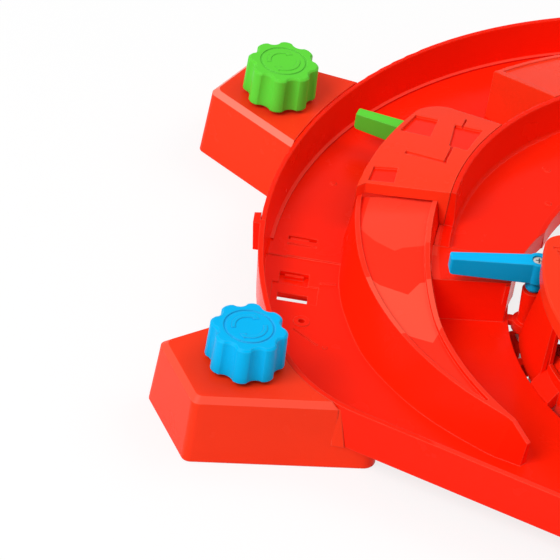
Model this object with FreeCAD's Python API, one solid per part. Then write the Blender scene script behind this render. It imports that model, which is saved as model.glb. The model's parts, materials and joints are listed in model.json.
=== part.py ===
import FreeCAD, Part
import math
import os

V = FreeCAD.Vector

# Race track playset: a raised ring of two trays, two knob pods, levers and a hub.
# Millimetres, Z up, origin on the ground at the centre of the ring.
# Directions round the ring are degrees from the -X side, positive towards +Y.

# Heights of the trays
FLOOR_Z = 16.0
SHEET = 2.2
SKIRT_Z = 12.8
RIM_Z = 36.0
DECK_Z = 37.5
DIVIDER_Z = 57.0
UNDER_Z = FLOOR_Z - SHEET

# Widths across the ring, from the rim inwards
RIM_R = 235.0
RIM_WIDTH = 2.5
WALL_LEAN = 2.0
WALL_FOOT = 5.2
OUTER_LANE = 35.3
ISLAND_WIDTH = 45.1
DIVIDER_WIDTH = 2.7
DIVIDER_LEAN = 0.8
DIVIDER_SPREAD = 4.4
INNER_LANE = 39.3
FOOT_R = RIM_R - WALL_FOOT
ISLAND_R = FOOT_R - OUTER_LANE
DIVIDER_OUT_R = ISLAND_R - ISLAND_WIDTH
DIVIDER_FOOT_R = DIVIDER_OUT_R - DIVIDER_SPREAD
DECK_INNER_R = DIVIDER_FOOT_R - INNER_LANE
DECK_LIP = 2.3
DECK_SKIRT_Z = 27.0
SEAM_ANGLE = 0.02

# Front tray plan: the wall leaves the round, turns a corner and runs straight to a tighter round
FRONT_R = RIM_R - 54.0
FRONT_TANGENT = 70.0
CORNER_R = 65.0
LANE_INNER_R = DECK_INNER_R + 7.3
LANE_INNER_Y = -10.5

# Inner edge of the deck beside the blue lever, as (direction, distance outside the deck's inner edge)
BAY_EDGE = [(14.0, -2.3), (0.0, 5.3), (-10.0, 10.8)]
BAY_WALL = 2.2

# Step at the end of the inner lane, as (distance forwards, height)
STEP_ANGLE = -9.6
STEP_PROFILE = [(0.0, DECK_Z), (0.8, 28.0), (2.6, FLOOR_Z - 1.0), (0.2, FLOOR_Z - 1.0), (-1.6, 28.0), (-2.4, DECK_Z)]

# Wedge that parts the two lanes; tables run (direction, value)
WEDGE_RIM_R = DIVIDER_OUT_R + 5.6
WEDGE_FOOT_IN_R = DIVIDER_OUT_R - 2.4
WEDGE_ARC_R = ISLAND_R - 40.5
WEDGE_ARC_X = -37.6
WEDGE_ARC_Y = 24.7
WEDGE_LOW_Z = 34.0
WEDGE_RIM_WIDTH = 2.3
WEDGE_PANEL_DEPTH = 1.8
WEDGE_TIP = -50.0
WEDGE_TIP_Z = 28.0
WEDGE_OUT_FOOT = [(12, 0.5), (0, 0.5), (-9, -0.1), (-20, -4.3), (-30, -12.2), (-40, -22.7), (-48, -31.1)]
WEDGE_IN_TOP = [(12, 50.0), (6, 50.0), (-20, 35.0), (-27, 34.0), (-46, 34.0)]
WEDGE_OUT_TOP = [(12, 38.6), (6, 37.6), (-8, 34.2), (-14, 34.0), (-46, 34.0)]
WEDGE_ANGLES = [9, 4, -2, -8, -14, -20, -26, -32, -38, -43]
HOLLOW_ANGLES = [9.5, 4, -2, -8, -14, -20, -26, -32, -38]

# Tilted tops of the island
TILT_OUT_Z = 44.0
COVER_LIP_ANGLES = (9.0, 6.2)
COVER_NICK_ANGLE = 7.1
COVER_BACK = 33.2
COVER_ROUND = 13.0
COVER_WALL = 2.0
OPENING_Z = 39.2
BLOCK_FROM = 47.0
BLOCK_TO = 169.5
POCKET_DEPTH = 1.4

# Pods, in a frame along their own axis
POD_AXIS = 24.4
POD_END_R = RIM_R + 50.6
POD_INNER_R = RIM_R - 35.7
POD_FAR_HALF = 20.2
POD_SEAM_HALF = 22.4
POD_FAR_TAPER = 14.0
POD_SEAM_TAPER = 13.6
POD_END_TURN = 4.0
POD_Z = 36.0
POD_SEAM_DRAFT = 3.4
POD_DRAFT = 0.9
POD_CHAMFER = 2.6
POD_ROUND = 4.0
POD_WALL = 2.2
POD_GAP = 0.1
BASE_PLATE = 2.0
BASE_PLAY = 0.25

# Knobs
KNOB_D = 35.0
KNOB_Z = 38.5
KNOB_H = 18.4
KNOB_LOBES = 8
KNOB_VALLEY = 2.6
KNOB_DRAFT = 0.6
KNOB_WALL = 2.2
KNOB_COLLAR_D = 25.0
SHAFT_D = 8.0

# Racks and gears under the trays
MODULE = 1.5
PINION_TEETH = 10
SECTOR_TEETH = 20
ADDENDUM = 1.2
DEDENDUM = 1.75
PRESSURE = 20.0
FLANK_PLAY = 0.18
GEAR_Z = 4.1
GEAR_H = 4.6
RACK_BACK = 4.0
RAIL_WALL = 2.3
RAIL_SHEET = 1.6
GUIDE_POST_D = 6.4
GUIDE_JOIN_Z = 10.6

# Levers
LEVER_ROOT = 8.4
LEVER_END = 5.6
LEVER_ROOT_H = 11.3
LEVER_TIP_H = 8.6
LEVER_HUB_D = 10.4
LEVER_BOSS_D = 8.4
LEVER_BOSS_DROP = 6.1
LEVER_SHAFT_D = 5.0

# Screws and clearances
SCREW_D = 2.4
PILOT_PLAY = 0.05
RUN = 0.05
SLIDE = 0.3
SEAT = 0.1

# Hub: a cap on a drum, with side arcs round their own centres and a flatter front
CAP_Z = 58.0
CAP_DEPTH = 8.0
CAP_WALL = 2.1
CAP_CHAMFER = 0.7
CAP_SIDE_R = LANE_INNER_R - 12.9
CAP_SIDE_X = 3.1
CAP_SIDE_Y = -25.2
CAP_SIDE_FROM = 6.4
CAP_SIDE_TO = -25.3
CAP_SHOULDER = [(44.5, 3.7), (57.4, 10.6), (90.0, 22.4)]
CAP_BACK_Y = 16.0
DRUM_GAP = 0.3
DRUM_WALL = 2.0
WINDOW_LOW = 28.0
WINDOW_HIGH = 46.0
WINDOW_WIDTH = 24.0
WINDOW_ANGLES = (-61.4, -30.0, 0.0, 30.0, 61.4)
ARM_ANGLES = (31.8, 90.0, 148.2)
ARM_WIDTH = 15.8
PILLARS = ((-74.0, -40.0), (74.0, -40.0), (-45.0, -78.0), (45.0, -78.0))
PILLAR_SEAT_Z = 40.0
RIB_LOW = 11.2
RIB_HIGH = 22.0


def spot(angle, radius, z=0.0):
    a = math.radians(angle)
    return V(-radius * math.cos(a), radius * math.sin(a), z)


def plan(angle, radius):
    q = spot(angle, radius)
    return q.x, q.y


# The two drives: knob centre, lever pivot, rest direction and length of the lever, height of its top,
# turn of the knob's lobes, and places along the rack of the posts that hold its rail
GREEN = dict(side=1, knob=plan(23.3, RIM_R + 23.0), pivot=plan(30.14, ISLAND_R - 15.3), rest=167.0,
             reach=43.2, top=36.1, lobes=0.5, rail_posts=(68.5, 88.0))
BLUE = dict(side=-1, knob=plan(-24.5, RIM_R + 19.3), pivot=plan(-9.44, DECK_INNER_R - 0.3), rest=190.5,
            reach=42.0, top=52.2, lobes=43.5, rail_posts=(68.0, 120.0))


def value(table, angle):
    """Straight-line value between the stations of a table that runs from high angle to low."""
    for (a0, v0), (a1, v1) in zip(table, table[1:]):
        if angle >= a1:
            return v0 + (v1 - v0) * (a0 - angle) / (a0 - a1)
    return table[-1][1]


def largest(shape):
    return max(shape.Solids, key=lambda s: s.Volume)


def solid_of(shape):
    """The shape as one clean solid."""
    return largest(shape.removeSplitter())


def rounded_wire(points, place):
    """Closed wire through (u, v, r) corners, each rounded by r; place(u, v) gives the 3-D point."""
    corners = []
    count = len(points)
    for i in range(count):
        u, v, r = points[i]
        pu, pv = points[i - 1][:2]
        nu, nv = points[(i + 1) % count][:2]
        if r <= 0:
            corners.append([(u, v)])
            continue
        a = (pu - u, pv - v)
        b = (nu - u, nv - v)
        la = math.hypot(*a)
        lb = math.hypot(*b)
        a = (a[0] / la, a[1] / la)
        b = (b[0] / lb, b[1] / lb)
        half = math.acos(max(-1.0, min(1.0, a[0] * b[0] + a[1] * b[1]))) / 2.0
        cut = min(r / math.tan(half), 0.49 * min(la, lb))
        reach = cut * math.tan(half)
        mid = (a[0] + b[0], a[1] + b[1])
        lm = math.hypot(*mid)
        dist = reach / math.sin(half)
        centre = (u + mid[0] / lm * dist, v + mid[1] / lm * dist)
        crest = (centre[0] - mid[0] / lm * reach, centre[1] - mid[1] / lm * reach)
        corners.append([(u + a[0] * cut, v + a[1] * cut), crest, (u + b[0] * cut, v + b[1] * cut)])
    edges = []
    for i in range(count):
        here = corners[i]
        after = corners[(i + 1) % count]
        if len(here) == 3:
            edges.append(Part.Arc(*[place(*p) for p in here]).toShape())
        start = place(*here[-1])
        end = place(*after[0])
        if start.distanceToPoint(end) > 1e-6:
            edges.append(Part.LineSegment(start, end).toShape())
    return Part.Wire(edges)


def flat(z):
    return lambda x, y: V(x, y, z)


def plate(points, z0, z1):
    """Upright prism over a rounded outline of (x, y, r)."""
    return Part.Face(rounded_wire(points, flat(z0))).extrude(V(0, 0, z1 - z0))


def sharp(points):
    return [(x, y, 0) for x, y in points]


def ring(profile, start, end):
    """Turn an (r, z, round) profile about the ring's axis between two directions."""
    a = math.radians(start)
    face = Part.Face(rounded_wire(profile, lambda r, z: V(-r * math.cos(a), r * math.sin(a), z)))
    return face.revolve(V(0, 0, 0), V(0, 0, -1), end - start)


def band(r0, r1, z0, z1, start, end):
    """Plain piece of ring between two radii and two heights."""
    return ring([(r0, z0, 0), (r1, z0, 0), (r1, z1, 0), (r0, z1, 0)], start, end)


def block(x0, x1, y0, y1, z0, z1):
    return Part.makeBox(x1 - x0, y1 - y0, z1 - z0, V(x0, y0, z0))


def post(x, y, radius, z0, z1):
    return Part.makeCylinder(radius, z1 - z0, V(x, y, z0))


def tube(x, y, outer, bore, z0, z1):
    return post(x, y, outer, z0, z1).cut(post(x, y, bore, z0 - 1, z1 + 1))


def cone(x, y, r0, r1, z0, z1):
    return Part.makeCone(r0, r1, z1 - z0, V(x, y, z0))


def stations(wires, ruled=False):
    return Part.makeLoft(wires, True, ruled)


def radial_wire(angle, corners):
    """Closed wire of straight edges through (r, z) corners in the plane of one direction."""
    pts = [spot(angle, r, z) for r, z in corners]
    return Part.makePolygon(pts + [pts[0]])


def mirrored(shape):
    return shape.mirror(V(0, 0, 0), V(1, 0, 0))


def both(shapes):
    return list(shapes) + [mirrored(s) for s in shapes]


def turned(shape, x, y, angle):
    out = shape.copy()
    out.rotate(V(0, 0, 0), V(0, 0, 1), angle)
    out.translate(V(x, y, 0))
    return out


def front_wire(inset, z, seam):
    """D-shaped outline of the front tray moved inwards by inset; its straight side lies on y = seam."""
    t = math.radians(FRONT_TANGENT)
    n = (-math.cos(t), -math.sin(t))
    along = (n[1], -n[0])
    reach = math.sqrt((RIM_R - CORNER_R) ** 2 - (FRONT_R - CORNER_R) ** 2)
    cx = n[0] * (FRONT_R - CORNER_R) + along[0] * reach
    cy = n[1] * (FRONT_R - CORNER_R) + along[1] * reach
    away = math.hypot(cx, cy)
    big = RIM_R - inset
    small = CORNER_R - inset
    low = FRONT_R - inset
    start = (-math.sqrt(big * big - seam * seam), seam)
    touch = (cx / away * big, cy / away * big)
    half = math.atan2(-cy, -cx) / 2.0
    mid_big = (-big * math.cos(half), -big * math.sin(half))
    line_from = (cx + n[0] * small, cy + n[1] * small)
    bis = (cx / away + n[0], cy / away + n[1])
    lb = math.hypot(*bis)
    mid_small = (cx + bis[0] / lb * small, cy + bis[1] / lb * small)
    line_to = (n[0] * low, n[1] * low)

    def p(q, flip=1):
        return V(q[0] * flip, q[1], z)

    edges = [Part.Arc(p(start), p(mid_big), p(touch)).toShape(),
             Part.Arc(p(touch), p(mid_small), p(line_from)).toShape(),
             Part.LineSegment(p(line_from), p(line_to)).toShape(),
             Part.Arc(p(line_to), V(0, -low, z), p(line_to, -1)).toShape(),
             Part.LineSegment(p(line_to, -1), p(line_from, -1)).toShape(),
             Part.Arc(p(line_from, -1), p(mid_small, -1), p(touch, -1)).toShape(),
             Part.Arc(p(touch, -1), p(mid_big, -1), p(start, -1)).toShape(),
             Part.LineSegment(p(start, -1), p(start)).toShape()]
    return Part.Wire(edges)


def front_loft(inset0, z0, inset1, z1, seam=0.0):
    return stations([front_wire(inset0, z0, seam), front_wire(inset1, z1, seam)], True)


# Wedge sections
def wedge_rim_out(angle):
    a = math.radians(angle)
    along = -math.cos(a) * WEDGE_ARC_X + math.sin(a) * WEDGE_ARC_Y
    away = WEDGE_ARC_X ** 2 + WEDGE_ARC_Y ** 2
    arc = along + math.sqrt(along * along - away + WEDGE_ARC_R ** 2)
    return max(arc, WEDGE_RIM_R + WEDGE_RIM_WIDTH)


def wedge_loft(angles, inset, drop, foot_z, rise=0.0, upright=False):
    """Loft along the wedge, drawn in from its faces by inset and down from its top by drop."""
    wires = []
    for a in angles:
        r0 = WEDGE_RIM_R + inset
        r1 = wedge_rim_out(a) - inset
        z0 = value(WEDGE_IN_TOP, a)
        z1 = value(WEDGE_OUT_TOP, a)
        slope = (z1 - z0) / (wedge_rim_out(a) - WEDGE_RIM_R)
        top0 = z0 + slope * inset
        top1 = z1 - slope * inset
        if upright:
            ring_pts = [(r0, top0 - drop), (r1, top1 - drop), (r1, top1 + rise), (r0, top0 + rise)]
        else:
            f_in = WEDGE_FOOT_IN_R + inset
            f_out = ISLAND_R + value(WEDGE_OUT_FOOT, a) - inset
            ring_pts = [(f_in, foot_z), (f_out, foot_z), (r1, top1 - drop), (r0, top0 - drop)]
        wires.append(radial_wire(a, ring_pts))
    return stations(wires)


def wedge_shell():
    body = wedge_loft(WEDGE_ANGLES + [-46], 0.0, 0.0, UNDER_Z)
    foot = ISLAND_R + value(WEDGE_OUT_FOOT, -46)
    tip = (WEDGE_RIM_R + 0.4, WEDGE_RIM_R + 4.6)
    wires = []
    for a, f_in, f_out, top in ((-46, WEDGE_FOOT_IN_R, foot, WEDGE_LOW_Z), (WEDGE_TIP, *tip, WEDGE_TIP_Z)):
        wires.append(radial_wire(a, [(f_in, UNDER_Z), (f_out, UNDER_Z), (WEDGE_RIM_R + WEDGE_RIM_WIDTH, top),
                                     (WEDGE_RIM_R, top)]))
    body = body.fuse(stations(wires, True))
    panel = wedge_loft([10] + HOLLOW_ANGLES[1:] + [-40], WEDGE_RIM_WIDTH, WEDGE_PANEL_DEPTH, 0.0, 4.0, True)
    hollow = wedge_loft(HOLLOW_ANGLES, SHEET + 0.4, WEDGE_PANEL_DEPTH + SHEET, UNDER_Z - 1)
    return body.cut([panel, hollow])


# Trays
def divider_face(z):
    """Radius of the divider's outer face at a height."""
    return DIVIDER_OUT_R + DIVIDER_LEAN * (DIVIDER_Z - z) / (DIVIDER_Z - FLOOR_Z)


def guide_bosses(drive):
    """Bosses under the trays for the rail's screws, and the pilots to cut in them."""
    bosses = []
    pilots = []
    for x, y in rail_post_spots(drive):
        bosses.append(post(x, y, GUIDE_POST_D / 2, GUIDE_JOIN_Z, UNDER_Z + 0.5))
        pilots.append(post(x, y, SCREW_D / 2 + PILOT_PLAY, GUIDE_JOIN_Z - 1, UNDER_Z + 1.4))
    return bosses, pilots


def bay_circle():
    """Circle of the deck's inner edge beside the blue lever."""
    a, b, c = [spot(angle, DECK_INNER_R + more) for angle, more in BAY_EDGE]
    circle = Part.Circle(a, b, c)
    return circle.Center.x, circle.Center.y, circle.Radius


def bay_parts(start, end, low):
    """Cutter of the deck's edge beside the blue lever, and the wall that hangs from the new edge."""
    x, y, radius = bay_circle()
    sector = band(DECK_INNER_R - 8, DECK_INNER_R + 20, 0, DIVIDER_Z, start, end)
    cutter = post(x, y, radius, FLOOR_Z + 1, DIVIDER_Z + 1).common(sector)
    wall = tube(x, y, radius + BAY_WALL, radius, low, DECK_Z - 0.9).common(sector)
    return cutter, wall


def deck_edge_profile():
    inner = DECK_INNER_R - DECK_LIP
    return [(DECK_INNER_R, DECK_Z, 0), (inner, DECK_Z - 0.9, 0), (inner - 0.4, DECK_SKIRT_Z, 0),
            (inner + 1.4, DECK_SKIRT_Z, 0), (inner + 1.9, DECK_Z - SHEET, 0)]


def back_tray():
    deck_low = DECK_Z - SHEET
    profile = [(RIM_R, RIM_Z, 0.8), (RIM_R - RIM_WIDTH, RIM_Z, 0.8), (FOOT_R, FLOOR_Z, 2.0),
               (divider_face(FLOOR_Z), FLOOR_Z, 0), (DIVIDER_OUT_R, DIVIDER_Z, 0.8),
               (DIVIDER_OUT_R - DIVIDER_WIDTH, DIVIDER_Z, 0.8), (DIVIDER_FOOT_R, DECK_Z, 1.5)]
    profile += deck_edge_profile()
    profile += [(DIVIDER_FOOT_R + SHEET, deck_low, 0), (DIVIDER_FOOT_R + SHEET + 0.4, UNDER_Z, 0),
                (FOOT_R + 0.2, UNDER_Z, 0), (FOOT_R + 0.5, SKIRT_Z, 0), (RIM_R - WALL_LEAN, SKIRT_Z, 0)]
    tray = ring(profile, SEAM_ANGLE, 180 - SEAM_ANGLE)
    low = band(DIVIDER_FOOT_R + 0.4, DIVIDER_OUT_R + 3, DECK_Z, DIVIDER_Z + 2, -3, 6.6)
    edge, wall = bay_parts(SEAM_ANGLE, BAY_EDGE[0][0], DECK_SKIRT_Z)
    bosses, pilots = guide_bosses(GREEN)
    lx, ly = GREEN["pivot"]
    bearing = post(lx, ly, 6.5, GUIDE_JOIN_Z, FLOOR_Z + 3.0)
    tray = tray.cut(both([edge, low] + latch_cuts(1)))
    tray = tray.fuse(both([wall]) + bosses + [bearing])
    tray = tray.cut(pilots + [post(lx, ly, LEVER_SHAFT_D / 2 + RUN, 0, FLOOR_Z + 4)])
    for angle, radius, z in ((17.5, FOOT_R - 16.8, FLOOR_Z), (36.2, DECK_INNER_R + 19.6, DECK_Z),
                             (25.3, DECK_INNER_R + 4.5, DECK_Z)):
        tray = tray.fuse(cone(*plan(angle, radius), 2.0, 1.4, z - 0.5, z + 0.5))
    return solid_of(tray)


def latch_x(inwards):
    """X of a place on the seam, measured inwards from the wall's foot on the left."""
    return -FOOT_R + inwards


def latch_block(out, inn, y0, y1, z0, z1):
    return block(latch_x(out), latch_x(inn), y0, y1, z0, z1)


def latch_cuts(side):
    """Slots and shallow seats of the latch by the seam, for the back tray (1) or the front tray (-1)."""
    through = (UNDER_Z - 1, FLOOR_Z + 1)
    if side > 0:
        return [latch_block(9.2, 23.1, 14.8, 17.4, *through),
                latch_block(9.2, 23.1, 10.4, 11.9, FLOOR_Z - 0.8, FLOOR_Z + 1),
                latch_block(9.7, 37.9, -1, 2.2, *through)]
    return [latch_block(7.8, 21.8, -19.0, -10.5, *through),
            latch_block(4.9, 27.0, -32.5, -19.0, FLOOR_Z - 0.7, FLOOR_Z + 1),
            latch_block(8.3, 22.5, -32.0, -26.0, *through),
            turned(block(-7.6, 7.6, -0.5, 0.5, FLOOR_Z - 0.7, FLOOR_Z + 1), latch_x(24.2), -56.7, -37)]


def seam_tab():
    """Tongue of the front tray outside the back tray's wall."""
    wires = []
    for z, out, wall in ((20.0, 1.6, WALL_LEAN - 0.62), (RIM_Z, 3.4, 0.0)):
        edge = -RIM_R + wall
        pts = [(-RIM_R - out, -3.0), (-RIM_R - out, 4.8), (edge - 0.4, 5.5), (edge - SEAT, 5.5),
               (edge - SEAT, -0.1), (edge + 1.0, -0.1), (edge + 1.0, -3.0)]
        corners = [V(x, y, z) for x, y in pts]
        wires.append(Part.makePolygon(corners + [corners[0]]))
    return stations(wires, True)


def front_tray():
    outer = front_loft(WALL_LEAN, SKIRT_Z, 0.0, RIM_Z)
    inner = front_loft(RIM_R - FOOT_R, FLOOR_Z, RIM_WIDTH - 0.14, RIM_Z + 1.0, 1.0)
    under = front_loft(RIM_R - FOOT_R - 0.4, SKIRT_Z - 1, RIM_R - FOOT_R - 0.2, UNDER_Z, 1.0)
    lip = tube(0, LANE_INNER_Y, LANE_INNER_R + SHEET, LANE_INNER_R, SKIRT_Z, FLOOR_Z)
    bosses, pilots = guide_bosses(BLUE)
    boss_x, boss_y = latch_x(21.3), -45.9
    tray = outer.cut([inner, under, post(0, LANE_INNER_Y, LANE_INNER_R, 0, RIM_Z * 2)])
    tongue = latch_block(9.9, 37.7, -1.0, 2.0, UNDER_Z, FLOOR_Z)
    rib = turned(block(-3.8, 3.8, -0.6, 0.6, FLOOR_Z - 0.5, FLOOR_Z + 0.6), latch_x(31.0), -15.3, 9)
    boss = post(boss_x, boss_y, 3.9, SKIRT_Z, FLOOR_Z + 0.5)
    half = block(-RIM_R - 10, RIM_R + 10, -RIM_R - 10, 0, 0, RIM_Z)
    tray = tray.fuse([lip.common(half)] + bosses + both([tongue, rib, boss, seam_tab()]))
    pocket = wedge_loft([11] + HOLLOW_ANGLES[1:], SHEET + 1.6, WEDGE_PANEL_DEPTH + SHEET + 1, UNDER_Z - 1)
    hole = post(boss_x, boss_y, 1.6, UNDER_Z - 4, FLOOR_Z + 2)
    tray = tray.cut(both([pocket, hole] + latch_cuts(-1)) + pilots)
    side = upper_lane().fuse(wedge_front())
    return largest(tray.fuse([side.cut(pilots), mirrored(side)]))


def upper_lane():
    """Deck of the inner lane on the front tray, its wall beside the lever and its steep step."""
    outside = WEDGE_RIM_R - 1.4
    x, y, radius = bay_circle()
    deck = band(DECK_INNER_R - 3, outside, DECK_Z - SHEET, DECK_Z, STEP_ANGLE, 0)
    wall = bay_parts(STEP_ANGLE - 0.6, 0, FLOOR_Z - 1)[1]
    inner = DECK_INNER_R - 3
    face = Part.Face(rounded_wire([(w, z, 0) for w, z in STEP_PROFILE], lambda w, z: V(-inner, -w, z)))
    step = turned(face.extrude(V(inner - outside, 0, 0)), 0, 0, -STEP_ANGLE)
    below = wedge_loft(HOLLOW_ANGLES[1:5], SHEET - 0.6, 0.0, UNDER_Z - 1)
    lane = deck.fuse(step).cut([post(x, y, radius, 0, DIVIDER_Z), below])
    return lane.fuse(wall)


def wedge_front():
    shell = wedge_shell()
    beside = DIVIDER_OUT_R + 1.2
    keep = ring([(beside, FLOOR_Z + SEAT, 0), (RIM_R, FLOOR_Z + SEAT, 0), (RIM_R, DIVIDER_Z, 0),
                 (DECK_INNER_R, DIVIDER_Z, 0), (DECK_INNER_R, DECK_Z + SEAT, 0), (beside, DECK_Z + SEAT, 0)], 0, 12)
    front = block(-RIM_R, 0, -RIM_R, 0, 0, DIVIDER_Z)
    return shell.common(front).fuse(shell.common(keep))


# Island covers
def tilt_z(radius):
    return DIVIDER_Z + (TILT_OUT_Z - DIVIDER_Z) * (radius - DIVIDER_OUT_R) / ISLAND_WIDTH


def island_solid(drop, inset_in, inset_out, start, end, low):
    """Tilted block between the divider and the island's outer face, drawn in and lowered."""
    r0 = divider_face(low) + SEAT + inset_in
    r1 = DIVIDER_OUT_R + SEAT + inset_in
    r2 = ISLAND_R - inset_out
    edge = 0.8 if drop == 0 else 0
    return ring([(r0, low, 0), (r2, low, 0), (r2, tilt_z(r2) - drop, edge), (r1, tilt_z(r1) - drop, 0)], start, end)


def cover_outline(inset):
    """Plan of the cover: slanted front lip with a nicked outer corner, radial back with a round corner."""
    corner = spot(COVER_NICK_ANGLE, ISLAND_R + 4)
    lip_out = spot(COVER_LIP_ANGLES[0], ISLAND_R - 3.8)
    lip_in = spot(COVER_LIP_ANGLES[1], DIVIDER_OUT_R - 3)
    back = COVER_BACK - math.degrees(inset / ISLAND_R)
    back_in = spot(back - 1.6, DIVIDER_OUT_R - 3)
    back_out = spot(back, ISLAND_R - inset)
    beside = spot(back - 13.0, (ISLAND_R - inset) / math.cos(math.radians(13.0)))
    front = [(q.x, q.y + inset, 0) for q in (corner, lip_out, lip_in)]
    return front + [(back_in.x, back_in.y, 0), (back_out.x, back_out.y, COVER_ROUND - inset), (beside.x, beside.y, 0)]


def cover_pockets():
    """Shallow seats in the cover's top, as corners of (direction, distance inside the outer edge)."""
    seats = [[(28.7, 2.5), (28.7, 14.9), (23.3, 19.6), (23.8, 3.0)],
             [(28.3, 24.9), (28.3, 40.3), (20.7, 42.0), (21.5, 31.9)],
             [(13.4, 3.7), (13.4, 15.4), (9.2, 17.0), (9.7, 4.2)],
             [(18.4, 14.0), (16.4, 36.5), (15.6, 36.5), (17.6, 14.0)],
             [(30.8, 26.4), (16.2, 34.9), (16.0, 36.2), (30.6, 27.6)]]
    above = island_solid(POCKET_DEPTH, -4, -2, 5, COVER_BACK, FLOOR_Z)
    cutters = []
    for seat in seats:
        corners = [spot(angle, ISLAND_R - more) for angle, more in seat]
        cutters.append(plate([(q.x, q.y, 0) for q in corners], FLOOR_Z + 10, DIVIDER_Z + 10).cut(above))
    return cutters


def cover_platform():
    low = FLOOR_Z + SEAT
    outer = island_solid(0.0, 0.0, 0.0, 0, 40, low).common(plate(cover_outline(0.0), 0, DIVIDER_Z * 2))
    hollow = island_solid(SHEET, COVER_WALL, COVER_WALL, 0, 40, FLOOR_Z - 1)
    hollow = hollow.common(plate(cover_outline(COVER_WALL), 0, DIVIDER_Z * 2))
    opening = band(ISLAND_R - 28.5, ISLAND_R + 15, 0, OPENING_Z, COVER_LIP_ANGLES[0] + 0.2, 40)
    wedge = wedge_loft(WEDGE_ANGLES, -SEAT, -SEAT, FLOOR_Z - 1)
    bearing = tube(*GREEN["pivot"], 5.6, LEVER_SHAFT_D / 2 + RUN, GREEN["top"] + SLIDE, DIVIDER_Z)
    bearing = bearing.common(island_solid(0.5, 0.0, 0.0, 20, 40, 20))
    shell = outer.cut([hollow, opening, wedge, turned(wedge, 0, 0, -0.4)])
    return solid_of(shell.fuse(bearing).cut(cover_pockets()))


def island_block():
    low = FLOOR_Z + SEAT
    outer = island_solid(0.0, 0.0, 1.0, BLOCK_FROM, BLOCK_TO, low)
    hollow = island_solid(SHEET, COVER_WALL, COVER_WALL + 1.0, BLOCK_FROM + 0.7, BLOCK_TO - 0.7, FLOOR_Z - 1)
    shell = outer.cut(hollow)
    ribs = []
    for i in range(5):
        angle = BLOCK_FROM + 13.0 + 24.0 * i
        ribs.append(island_solid(SHEET - 0.3, COVER_WALL - 0.5, COVER_WALL + 0.5, angle, angle + 0.6, low))
    top = island_solid(-3.0, 3.0, 4.2, BLOCK_FROM + 1.0, BLOCK_TO - 1.0, tilt_z(ISLAND_R) - 1.5)
    floor = island_solid(0.8, 2.0, 3.0, BLOCK_FROM + 0.5, BLOCK_TO - 0.5, low)
    return solid_of(shell.fuse(ribs).cut(top.cut(floor)))


# Pods
def pod_point(side, u, v):
    """Place at u along a pod's axis and v across it, v positive away from the seam."""
    a = math.radians(POD_AXIS)
    return -u * math.cos(a) + v * math.sin(a), side * (u * math.sin(a) + v * math.cos(a))


def pod_corners(side, out, seam_out=None):
    """Outline of a pod moved outwards by out, as (x, y, r); the seam side may move by its own amount."""
    more = out if seam_out is None else seam_out
    far = math.tan(math.radians(POD_FAR_TAPER))
    seam = math.tan(math.radians(POD_SEAM_TAPER))
    turn = math.tan(math.radians(POD_END_TURN))
    u0 = POD_INNER_R - out
    half_far = POD_FAR_HALF + out
    half_seam = POD_SEAM_HALF + more
    end_far = POD_END_R + out - turn * half_far
    end_seam = POD_END_R + out + turn * half_seam
    run = POD_END_R - u0
    local = [(end_far, half_far + (POD_END_R - end_far) * far, POD_ROUND),
             (u0, half_far + run * far, POD_ROUND + 2.5),
             (u0, -half_seam - run * seam, 1.0), (end_seam, -half_seam + (end_seam - POD_END_R) * seam, POD_ROUND)]
    pts = [(*pod_point(side, u, v), r) for u, v, r in local]
    if side < 0:
        pts.reverse()
    return pts


def pod_level(z, more):
    """Outward moves of a pod's sides and of its seam side at a height, more of it for a face inside."""
    part = 1 - z / (POD_Z - POD_CHAMFER)
    return POD_DRAFT * part + more, POD_SEAM_DRAFT * part + more, z


def pod_loft(side, levels):
    fused = None
    for low, high in zip(levels, levels[1:]):
        wires = [rounded_wire(pod_corners(side, *level[:-1]), flat(level[-1])) for level in (low, high)]
        part = stations(wires, True)
        fused = part if fused is None else fused.fuse(part)
    return fused


def ring_envelope(gap, low):
    """Space of the ring's outside, from a height upwards."""
    front = front_loft(-gap, low, -gap, CAP_Z)
    return front.fuse(band(10, RIM_R + gap, low, CAP_Z, 0, 180))


def drive_frame(drive):
    """Rack direction, normal towards the rack, both gear radii and the run between the two contacts."""
    kx, ky = drive["knob"]
    lx, ly = drive["pivot"]
    r1 = MODULE * PINION_TEETH / 2.0
    r2 = MODULE * SECTOR_TEETH / 2.0
    apart = math.hypot(lx - kx, ly - ky)
    psi = math.atan2(ly - ky, lx - kx) - math.asin((r2 - r1) / apart)
    d = (math.cos(psi), math.sin(psi))
    n = (d[1], -d[0])
    run = (lx - kx) * d[0] + (ly - ky) * d[1]
    return d, n, r1, r2, run


def in_drive(drive, s, t):
    """Point s along the rack from the knob's contact and t from the knob's axis towards the rack."""
    d, n = drive_frame(drive)[:2]
    kx, ky = drive["knob"]
    return kx + d[0] * s + n[0] * t, ky + d[1] * s + n[1] * t


def drive_plate(drive, s0, s1, t0, t1, z0, z1):
    return plate(sharp([in_drive(drive, s, t) for s, t in ((s0, t0), (s1, t0), (s1, t1), (s0, t1))]), z0, z1)


def rack_sides():
    """Distances from the knob's axis of the rack's teeth tips and of its back."""
    r1 = MODULE * PINION_TEETH / 2.0
    return r1 - ADDENDUM, r1 + DEDENDUM + RACK_BACK


def rail_tunnel(drive, s0, s1):
    """Space that the rack and its rail need through a wall."""
    tips, back = rack_sides()
    return drive_plate(drive, s0, s1, tips - 1.0, back + RAIL_WALL + 2 * SLIDE, -1, rail_top() + SLIDE)


def rail_top():
    return GEAR_Z + GEAR_H + SLIDE + RAIL_SHEET


def pod_screws(side):
    near = POD_END_R - 6.5
    far = POD_INNER_R + 32.7
    return [pod_point(side, u, v) for u, v in ((near, 12.0), (near, -5.0), (far, 24.0), (far, -26.0))]


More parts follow.
